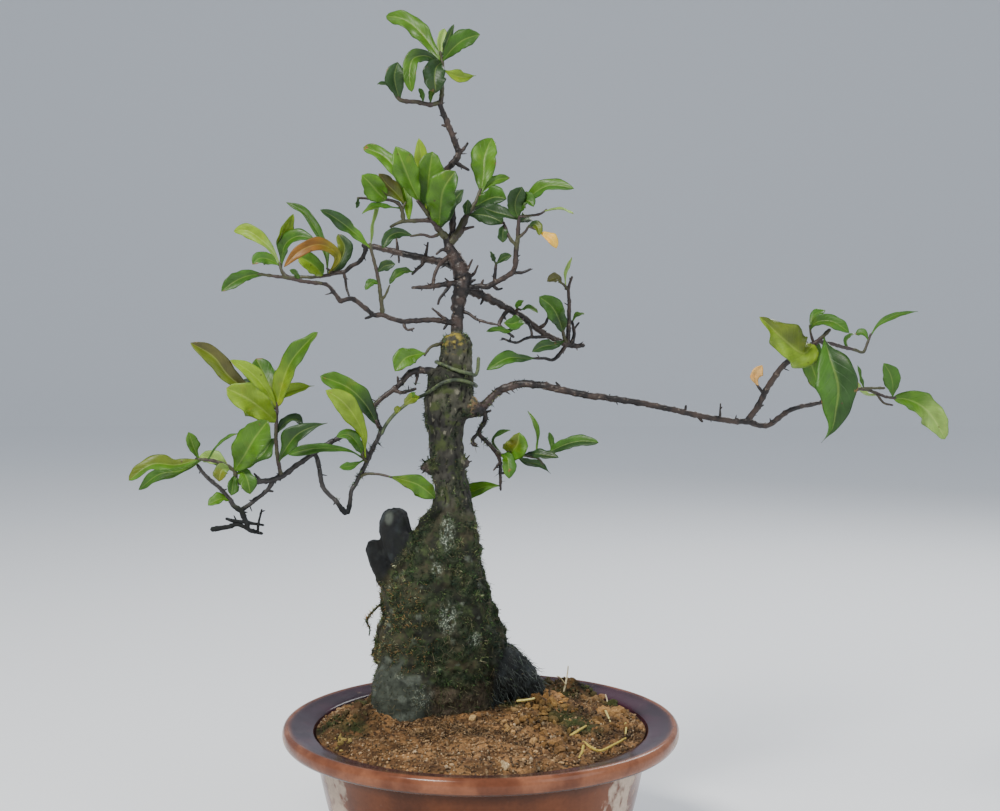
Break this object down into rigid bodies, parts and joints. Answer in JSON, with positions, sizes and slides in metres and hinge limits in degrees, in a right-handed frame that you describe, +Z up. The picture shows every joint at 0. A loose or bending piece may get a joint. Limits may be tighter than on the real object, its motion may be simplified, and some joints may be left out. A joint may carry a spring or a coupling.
{
  "type": "chinese persimmon bonsai",
  "caption": "Old mossy persimmon stump with thin crooked branches and loose leafy sprays, one branch reaching far to the right, planted in a round glazed pot with a wide rim.",
  "frame": {"origin": "on the ground at the pot's axis, in the middle of the pot's flat base", "axes": "+Z up along the pot's axis, the front of the tree faces -Y, the long branch reaches towards +X"},
  "size_m": [0.5683, 0.2812, 0.6162],
  "materials": {
    "glaze": "glossy brown glaze with whitish worn patches",
    "soil": "crumbly tan-brown bonsai soil with small stones",
    "bark": "dark fissured bark with moss and pale lichen",
    "leaf": "leathery green leaf, half gloss, with paler veins",
    "old_leaf": "withering orange leaf",
    "tie": "dull olive-green garden tie"
  },
  "bodies": {
    "root": {"pot": "glaze", "soil": "soil", "trunk_and_branches": "bark", "green_tie": "tie", "spray_apex": "leaf", "spray_crown_front": "leaf", "spray_crown_right": "leaf", "spray_right_top": "leaf", "spray_left_high": "leaf", "spray_left_reach": "leaf", "spray_left_upright": "leaf", "leaf_left_inner": "leaf", "spray_right_inner": "leaf", "spray_right_middle": "leaf", "spray_right_pair": "leaf", "spray_right_end": "leaf", "spray_right_tip": "leaf", "leaf_right_small": "leaf", "leaf_right_under": "leaf", "spray_stump": "leaf", "leaf_low_inner": "leaf", "leaf_behind_stump": "leaf", "leaf_orange": "old_leaf", "spray_far_right_high": "leaf", "spray_far_right_low": "leaf", "spray_right_low": "leaf", "spray_low_left_inner": "leaf", "spray_low_left_hanging": "leaf", "spray_low_left_upright": "leaf", "spray_low_left_outer": "leaf", "leaf_low_outer": "leaf"}
  },
  "joints": []
}
